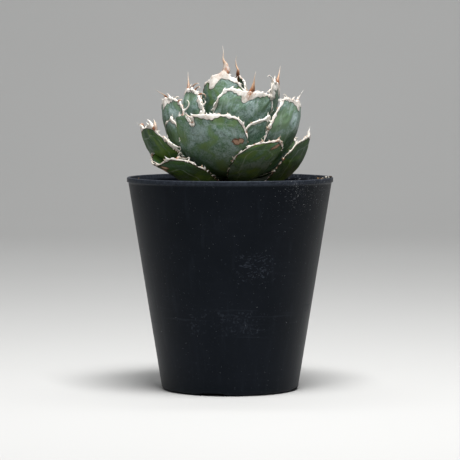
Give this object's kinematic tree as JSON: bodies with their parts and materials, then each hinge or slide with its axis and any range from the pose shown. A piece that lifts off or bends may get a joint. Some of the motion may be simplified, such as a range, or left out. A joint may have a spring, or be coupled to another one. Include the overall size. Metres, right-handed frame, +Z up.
{
  "type": "potted succulent",
  "caption": "Young agave rosette of broad cupped leaves with pale toothed edges and curved tip spines, in a tall round tapered black plastic pot.",
  "frame": {"origin": "centre of the pot's foot, on the surface the pot stands on", "axes": "+Z up the pot and the stem; -Y towards the front, where the widest leaf faces; +X to the right seen from the front"},
  "size_m": [0.105, 0.105, 0.175],
  "materials": {
    "pot_plastic": "satin near-black injection-moulded plastic, lightly scuffed and dusty",
    "potting_mix": "coarse gritty mix of clay granules, pumice and bark crumbs",
    "stem": "dry fibrous stem and roots",
    "old_leaf": "waxy mid-green leaf skin with a pale horny toothed margin",
    "grown_leaf": "waxy grey-green leaf skin with a pale horny toothed margin",
    "young_leaf": "powdery blue-grey bloom over green, with a creamy white horny toothed margin"
  },
  "bodies": {
    "root": {"pot": "pot_plastic", "potting_mix": "potting_mix", "stem_and_roots": "stem", "leaf_low_left": "old_leaf", "leaf_right_outer": "old_leaf", "leaf_low_back_left": "old_leaf", "leaf_low_back_right": "old_leaf", "leaf_left_outer": "old_leaf", "leaf_low_back": "old_leaf", "leaf_low_front_left": "old_leaf", "leaf_front_right": "old_leaf", "leaf_mid_back_right": "grown_leaf", "leaf_mid_back_left": "grown_leaf", "leaf_front": "grown_leaf", "leaf_mid_back": "grown_leaf", "leaf_mid_front_left": "grown_leaf", "leaf_right": "grown_leaf", "leaf_left": "grown_leaf", "leaf_back_left": "grown_leaf", "leaf_back_right": "grown_leaf", "leaf_mid_front_right": "grown_leaf", "leaf_back": "young_leaf", "leaf_upper_left": "young_leaf", "leaf_upper_right": "young_leaf", "leaf_upper_far_right": "young_leaf", "leaf_upper_back_left": "young_leaf", "leaf_upper_back": "young_leaf", "leaf_bud_front": "young_leaf", "leaf_bud_left": "young_leaf", "leaf_bud_back": "young_leaf", "leaf_spear": "young_leaf"}
  },
  "joints": []
}
